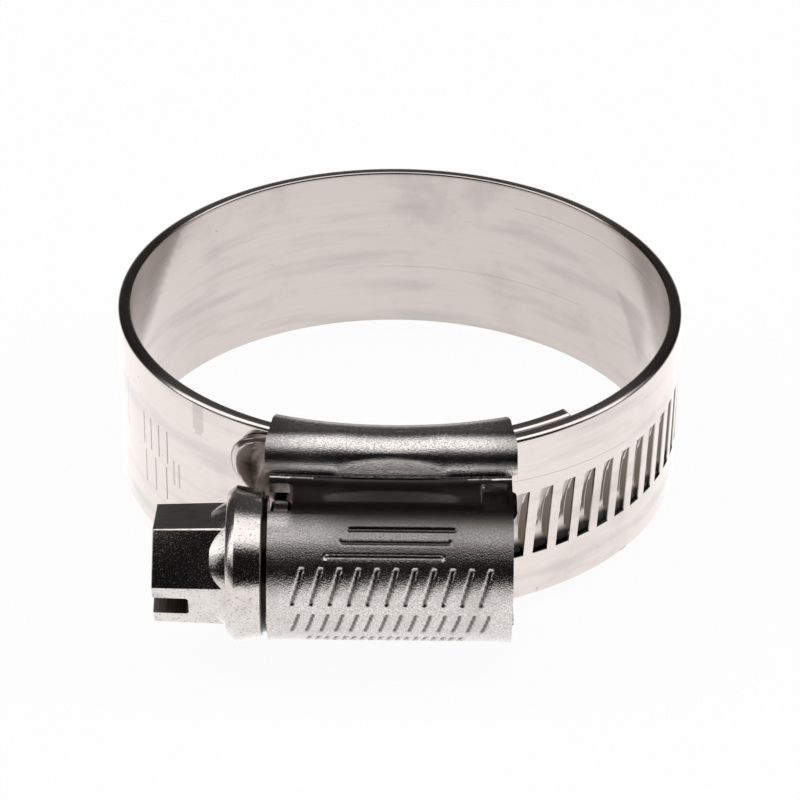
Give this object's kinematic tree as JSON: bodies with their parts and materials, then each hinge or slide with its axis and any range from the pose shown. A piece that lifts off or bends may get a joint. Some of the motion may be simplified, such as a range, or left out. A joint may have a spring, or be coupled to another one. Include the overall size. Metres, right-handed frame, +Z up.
{
  "type": "worm drive hose clamp",
  "caption": "Worm drive hose clamp: a slotted steel band ring, a pressed housing and a worm screw with a hexagon head and a driver slot.",
  "frame": {"origin": "centre of the bounding box on the plane that the clamp lies on", "axes": "+X along the screw's axis, away from its head; +Y from the housing towards the back of the ring; +Z up along the ring's axis"},
  "size_m": [0.04, 0.0492, 0.015],
  "materials": {
    "band_steel": "bright rolled stainless strip with faint smudges and rolling streaks",
    "housing_steel": "pressed stainless sheet, fine satin grain, brighter at its edges",
    "screw_steel": "bright turned and cold-headed steel, speckled on its flats"
  },
  "bodies": {
    "clamp": {"band": "band_steel", "housing": "housing_steel"},
    "screw": {"worm_screw": "screw_steel"}
  },
  "joints": [
    {"name": "screw_turn", "type": "hinge", "parent": "clamp", "child": "screw", "pos_m": [-0.00024, -0.01945, 0.0075], "axis": [1, 0, 0], "continuous": true, "deforming": ["band"]}
  ]
}
